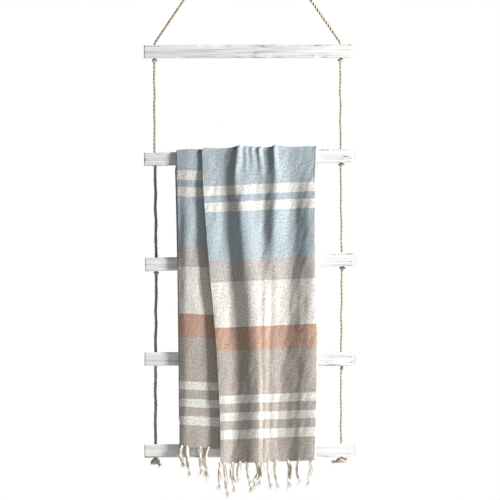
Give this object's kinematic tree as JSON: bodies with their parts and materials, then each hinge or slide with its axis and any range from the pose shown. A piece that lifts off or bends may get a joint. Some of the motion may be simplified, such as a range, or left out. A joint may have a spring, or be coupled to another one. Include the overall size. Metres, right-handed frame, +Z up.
{
  "type": "fringed throw on a hanging rope-ladder blanket rack",
  "caption": "Folded striped cotton throw with knotted fringes, draped over a rung of a hanging ladder of whitewashed wooden rungs strung on two jute ropes.",
  "frame": {"origin": "the top of the hanging loop's inside, where it bears on its hook", "axes": "+Z up; X along the rungs; -Y out of the rungs' flat front faces, away from the wall"},
  "size_m": [0.5117, 0.056, 1.4303],
  "materials": {
    "whitewashed_wood": "matte",
    "jute_rope": "matte",
    "woven_cotton": "matte",
    "fringe_yarn": "matte"
  },
  "bodies": {
    "loop": {"hanging_loop": "jute_rope"},
    "top_knot": {"apex_knot": "jute_rope"},
    "bail": {"bail_rope_left": "jute_rope", "bail_rope_right": "jute_rope", "rung_1": "whitewashed_wood", "knot_left_1": "jute_rope", "knot_right_1": "jute_rope"},
    "level_2": {"rope_left_2": "jute_rope", "rope_right_2": "jute_rope", "rung_2": "whitewashed_wood", "knot_left_2": "jute_rope", "knot_right_2": "jute_rope", "throw": "woven_cotton", "fringe_front": "fringe_yarn", "fringe_strip": "fringe_yarn", "fringe_back": "fringe_yarn"},
    "level_3": {"rope_left_3": "jute_rope", "rope_right_3": "jute_rope", "rung_3": "whitewashed_wood", "knot_left_3": "jute_rope", "knot_right_3": "jute_rope"},
    "level_4": {"rope_left_4": "jute_rope", "rope_right_4": "jute_rope", "rung_4": "whitewashed_wood", "knot_left_4": "jute_rope", "knot_right_4": "jute_rope"},
    "level_5": {"rope_left_5": "jute_rope", "rope_right_5": "jute_rope", "rung_5": "whitewashed_wood", "knot_left_5": "jute_rope", "knot_right_5": "jute_rope"}
  },
  "joints": [
    {"name": "side_sway", "type": "hinge", "parent": "loop", "child": "top_knot", "pos_m": [0, 0, -0.0653], "axis": [0, 1, 0], "range_deg": [-20, 20]},
    {"name": "swing_out", "type": "hinge", "parent": "top_knot", "child": "bail", "pos_m": [0, 0, -0.0653], "axis": [-1, 0, 0], "range_deg": [0, 25]},
    {"name": "rung_2_swing", "type": "hinge", "parent": "bail", "child": "level_2", "pos_m": [0.00181, 0, -0.43089], "axis": [-1, 0, 0.0053], "range_deg": [0, 30]},
    {"name": "rung_3_swing", "type": "hinge", "parent": "level_2", "child": "level_3", "pos_m": [0.00292, 0, -0.67241], "axis": [-0.9999, 0, 0.0123], "range_deg": [0, 35], "deforming": ["throw", "fringe_front", "fringe_strip", "fringe_back"]},
    {"name": "rung_4_swing", "type": "hinge", "parent": "level_3", "child": "level_4", "pos_m": [0.00597, 0, -0.9215], "axis": [-0.9997, 0, -0.0246], "range_deg": [0, 35], "deforming": ["throw", "fringe_front", "fringe_strip", "fringe_back"]},
    {"name": "rung_5_swing", "type": "hinge", "parent": "level_4", "child": "level_5", "pos_m": [0.00374, 0, -1.13731], "axis": [-1, 0, -0.0026], "range_deg": [0, 35], "deforming": ["throw", "fringe_front", "fringe_strip", "fringe_back"]}
  ]
}
